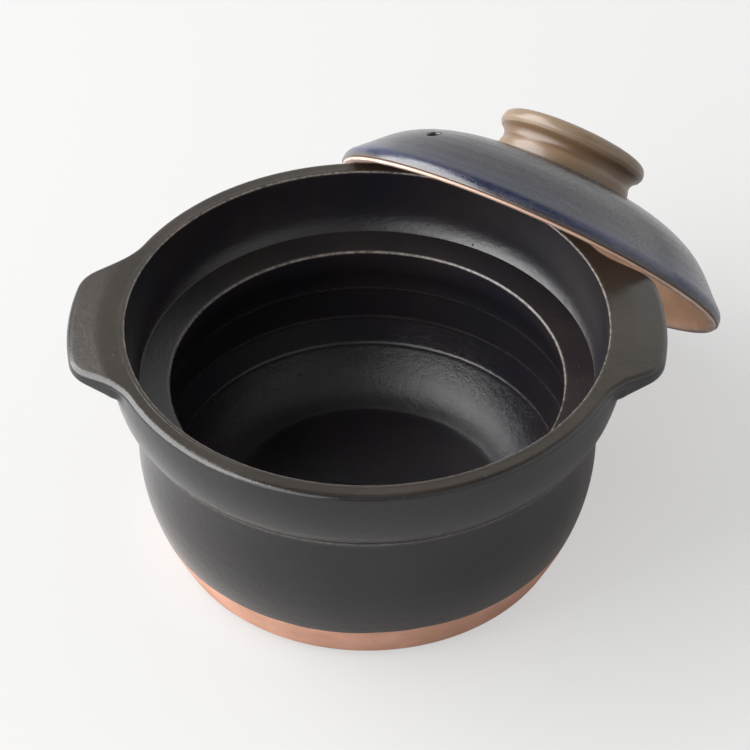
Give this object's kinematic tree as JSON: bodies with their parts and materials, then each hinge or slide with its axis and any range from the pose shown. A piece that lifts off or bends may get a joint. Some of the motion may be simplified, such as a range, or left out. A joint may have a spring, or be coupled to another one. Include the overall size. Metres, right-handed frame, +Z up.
{
  "type": "donabe clay pot",
  "caption": "Round glazed clay cooking pot with a wide ledged collar, ear handles and a domed lid with a knob, the lid taken off and leaning on the rim.",
  "frame": {"origin": "centre of the pot's flat foot, on the surface that the pot stands on", "axes": "+Z up along the pot's axis of revolution, X through the two ear handles with handle_right on +X, the lid leaning at the back and right, -Y towards the front"},
  "size_m": [0.2807, 0.2782, 0.1448],
  "materials": {
    "black_glaze": "satin",
    "navy_glaze": "satin, brushed",
    "beige_clay": "satin"
  },
  "bodies": {
    "pot": {"pot_body": "black_glaze", "handle_left": "black_glaze", "handle_right": "black_glaze"},
    "lid": {"lid_shell": "navy_glaze", "lid_knob": "beige_clay"}
  },
  "joints": [
    {"name": "lid_lift", "type": "slide", "parent": "pot", "child": "lid", "axis": [0.4108, 0.6592, 0.6298], "range_m": [0, 0.13]}
  ]
}
